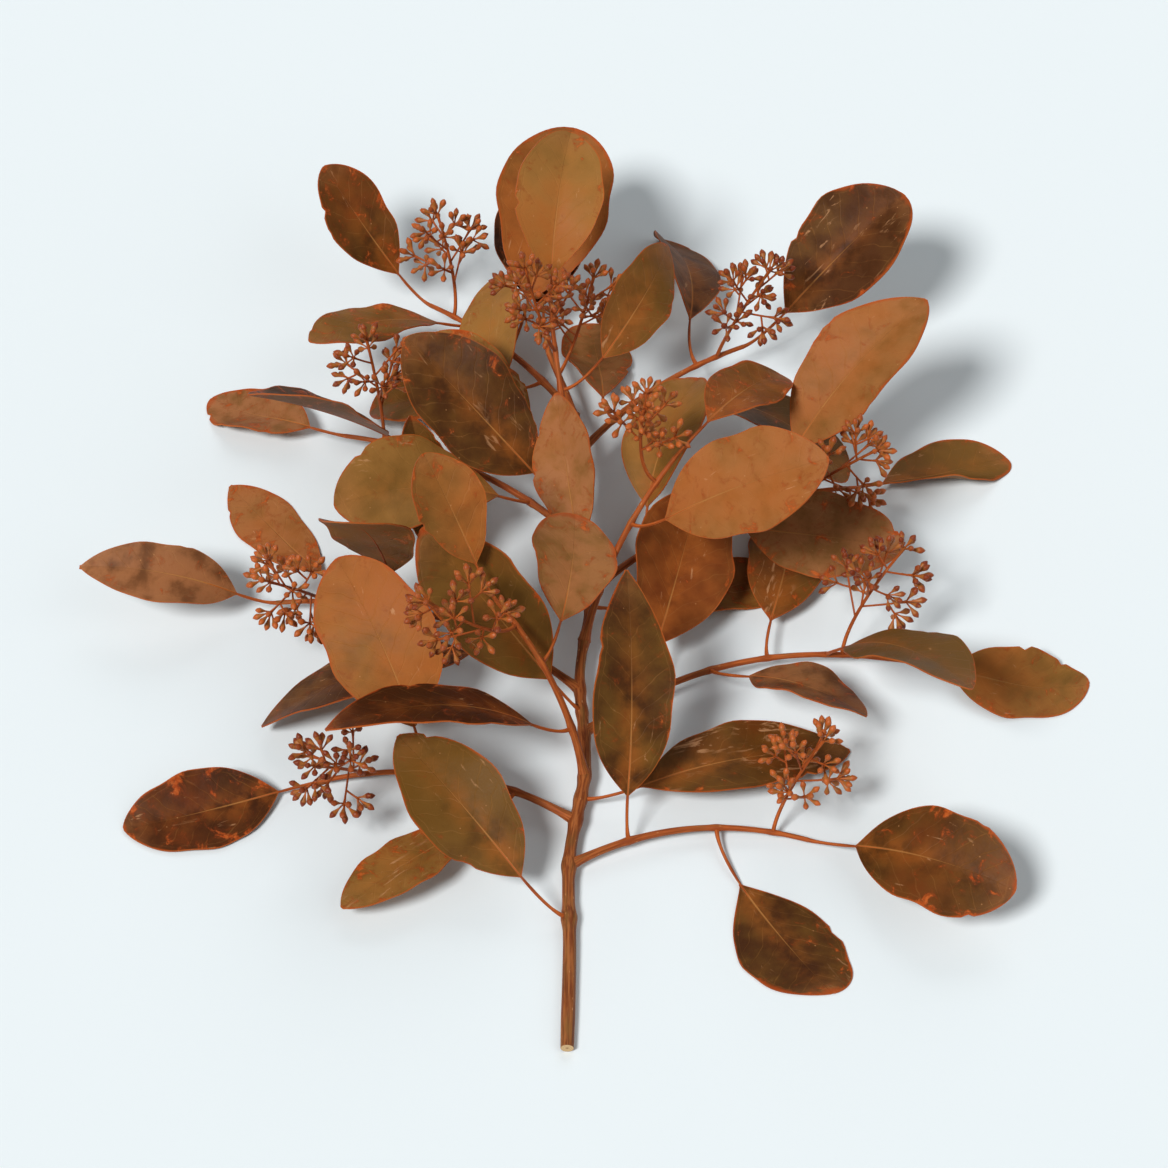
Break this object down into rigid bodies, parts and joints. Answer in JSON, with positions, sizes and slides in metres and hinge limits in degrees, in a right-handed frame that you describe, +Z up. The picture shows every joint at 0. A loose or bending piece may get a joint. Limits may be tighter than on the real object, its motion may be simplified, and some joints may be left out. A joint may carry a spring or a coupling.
{
  "type": "eucalyptus gum nut sprig",
  "caption": "Cut eucalyptus sprig lying flat: a thin woody stem with arching side twigs, leathery oval leaves on slender stalks and clusters of small club-shaped gum nuts.",
  "frame": {"origin": "on the surface that the sprig lies on, under the middle of its bounding box", "axes": "+Z up from the surface, +Y from the cut end of the stem towards its tip, +X to the right of the stem seen from above"},
  "size_m": [0.3668, 0.3798, 0.104],
  "materials": {
    "stem": "smooth matte orange-brown bark",
    "leaf": "satin leathery olive-brown to rust, with an orange rim and midrib",
    "gum_nut": "slightly shiny rust-orange, with a pinker cap"
  },
  "bodies": {
    "root": {"stem": "stem", "leaf_01": "leaf", "leaf_02": "leaf", "leaf_03": "leaf", "leaf_04": "leaf", "leaf_05": "leaf", "leaf_06": "leaf", "leaf_07": "leaf", "leaf_08": "leaf", "leaf_09": "leaf", "leaf_10": "leaf", "leaf_11": "leaf", "leaf_12": "leaf", "leaf_13": "leaf", "leaf_14": "leaf", "leaf_15": "leaf", "leaf_16": "leaf", "leaf_17": "leaf", "leaf_18": "leaf", "leaf_19": "leaf", "leaf_20": "leaf", "leaf_21": "leaf", "leaf_22": "leaf", "leaf_23": "leaf", "leaf_24": "leaf", "leaf_25": "leaf", "leaf_26": "leaf", "leaf_27": "leaf", "leaf_28": "leaf", "leaf_29": "leaf", "leaf_30": "leaf", "leaf_31": "leaf", "leaf_32": "leaf", "leaf_33": "leaf", "leaf_34": "leaf", "leaf_35": "leaf", "leaf_36": "leaf", "leaf_37": "leaf", "leaf_38": "leaf", "leaf_39": "leaf", "leaf_40": "leaf", "leaf_41": "leaf", "leaf_42": "leaf", "leaf_43": "leaf", "leaf_44": "leaf", "leaf_45": "leaf", "leaf_46": "leaf", "leaf_47": "leaf", "gum_nut_cluster_01": "gum_nut", "gum_nut_cluster_02": "gum_nut", "gum_nut_cluster_03": "gum_nut", "gum_nut_cluster_04": "gum_nut", "gum_nut_cluster_05": "gum_nut", "gum_nut_cluster_06": "gum_nut", "gum_nut_cluster_07": "gum_nut", "gum_nut_cluster_08": "gum_nut", "gum_nut_cluster_09": "gum_nut", "gum_nut_cluster_10": "gum_nut", "gum_nut_cluster_11": "gum_nut", "gum_nut_cluster_12": "gum_nut"}
  },
  "joints": []
}
